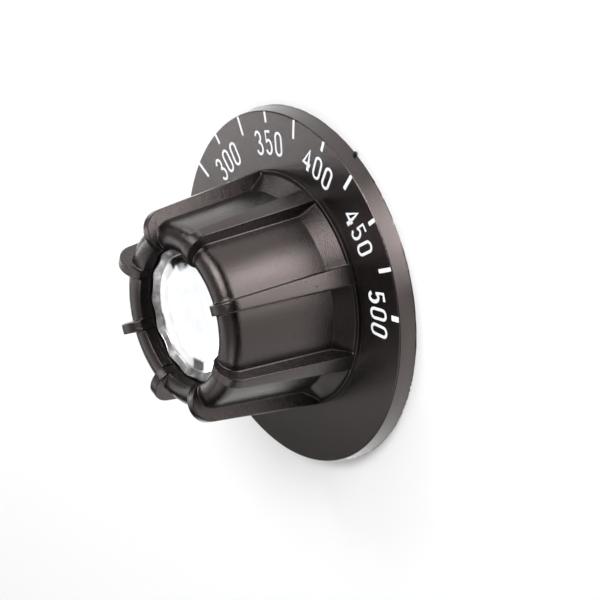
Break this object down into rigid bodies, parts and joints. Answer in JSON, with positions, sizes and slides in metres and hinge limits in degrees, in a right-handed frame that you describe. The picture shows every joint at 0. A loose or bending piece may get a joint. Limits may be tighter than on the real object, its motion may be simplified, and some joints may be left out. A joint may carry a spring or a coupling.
{
  "type": "oven control knob",
  "caption": "Round push-on control knob with a wide printed temperature dial, a ribbed hollow grip, a bright insert in its front and a D-shaped shaft socket at the back.",
  "frame": {"origin": "centre of the plane that the dial's back rim stands on, on the shaft's axis", "axes": "+Z along the shaft towards the grip's front, -Y to one of the ribs, the socket's flat on the +Y side"},
  "size_m": [0.0754, 0.0754, 0.0335],
  "materials": {
    "black_moulding": "satin black phenolic with a fine moulded grain",
    "bright_sheet": "bright, mirror-flat face",
    "spring_steel": "plain rolled"
  },
  "bodies": {
    "root": {"knob_body": "black_moulding", "front_insert": "bright_sheet", "shaft_spring": "spring_steel"}
  },
  "joints": []
}
